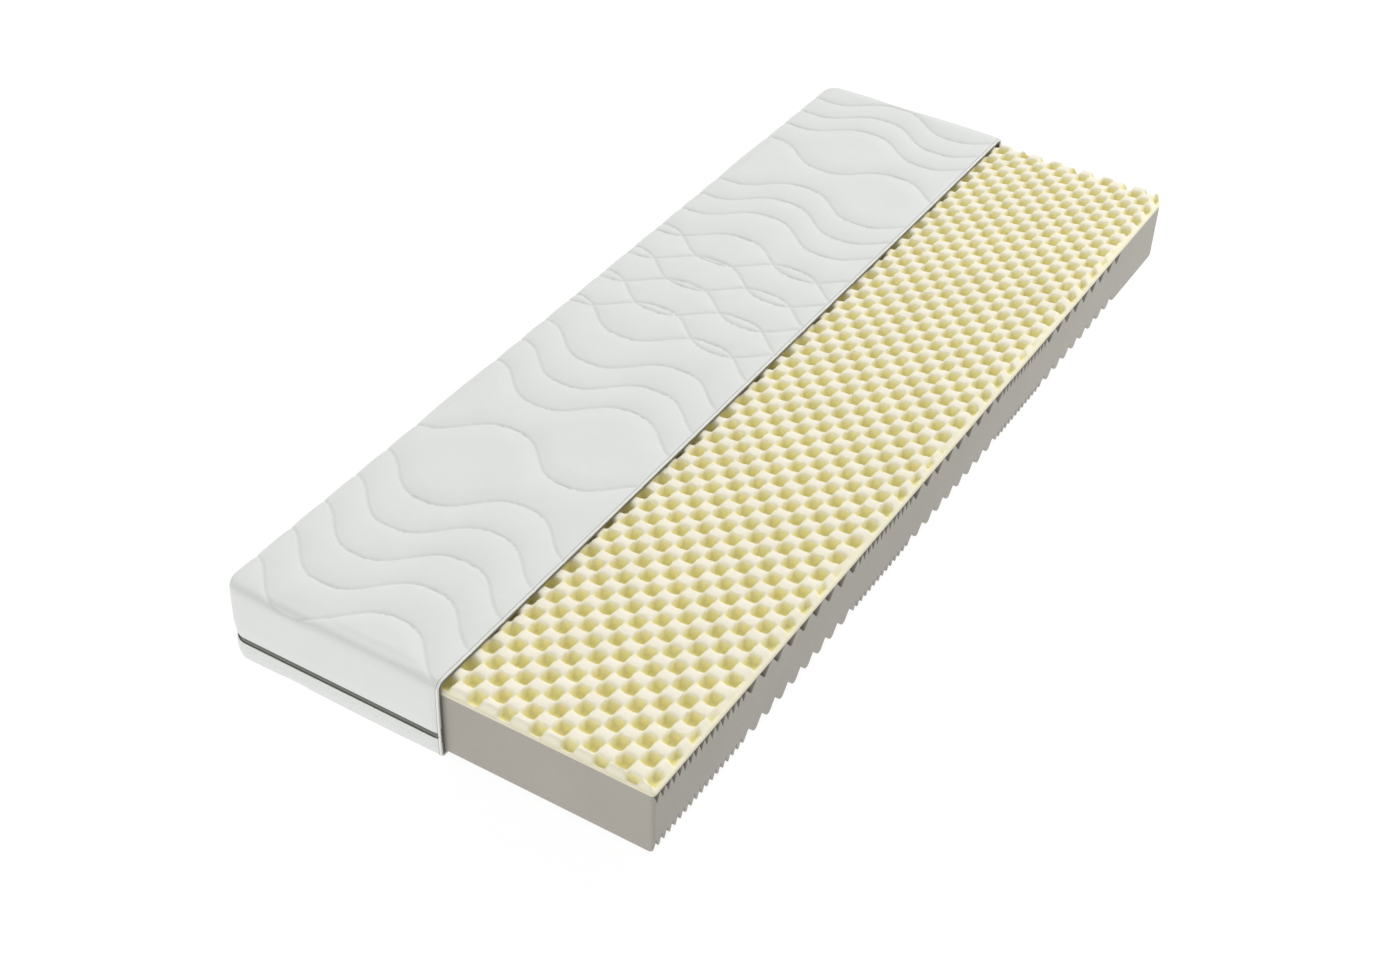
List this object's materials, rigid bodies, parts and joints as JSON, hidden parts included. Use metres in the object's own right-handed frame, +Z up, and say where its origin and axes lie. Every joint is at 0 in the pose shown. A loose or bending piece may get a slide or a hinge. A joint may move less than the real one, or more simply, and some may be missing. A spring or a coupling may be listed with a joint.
{
  "type": "foam mattress",
  "caption": "Zoned foam mattress with an egg-crate comfort layer and a quilted zip-off cover, shown with half of the cover cut away.",
  "frame": {"origin": "middle of the foam's 800 x 2000 mm footprint, at the level of the cover's underside", "axes": "+X across the bed to the bare side, +Y along the bed from the foot to the head end, +Z up"},
  "size_m": [0.813, 2.02, 0.158],
  "materials": {
    "cover_knit": "white polyester jersey, quilted",
    "wadding": "white polyester fleece",
    "backing": "dark needled backing",
    "binding": "white woven binding tape",
    "zip_tape": "dark grey woven tape",
    "zip_coil": "dark grey nylon coil",
    "zip_metal": "grey lacquered zinc",
    "core_foam": "grey cold-cure polyurethane foam",
    "comfort_foam": "cream visco-elastic foam, egg-crate cut"
  },
  "bodies": {
    "lower_cover": {"lower_face": "cover_knit", "lower_wadding": "wadding", "lower_lining": "backing", "lower_zip_tape": "zip_tape", "lower_zip_coil": "zip_coil", "lower_cut_binding": "binding", "zip_stops": "zip_metal"},
    "core": {"foam_core": "core_foam", "comfort_layer": "comfort_foam"},
    "upper_cover": {"upper_face": "cover_knit", "upper_wadding": "wadding", "upper_lining": "backing", "upper_zip_tape": "zip_tape", "upper_zip_coil": "zip_coil", "upper_cut_binding": "binding"},
    "slider": {"slider_body": "zip_metal", "slider_pin": "zip_metal"},
    "tab": {"pull_tab": "zip_metal"}
  },
  "joints": [
    {"name": "core_lift", "type": "slide", "parent": "lower_cover", "child": "core", "axis": [0, 0, 1], "range_m": [0, 0.3]},
    {"name": "cover_lift", "type": "slide", "parent": "core", "child": "upper_cover", "axis": [0, 0, 1], "range_m": [0, 0.3]},
    {"name": "zip_slide", "type": "slide", "parent": "lower_cover", "child": "slider", "axis": [0, 1, 0], "range_m": [0, 1.88]},
    {"name": "tab_hinge", "type": "hinge", "parent": "slider", "child": "tab", "pos_m": [-0.4119, -0.94, 0.046], "axis": [0, 0, 1], "range_deg": [0, 170]}
  ]
}
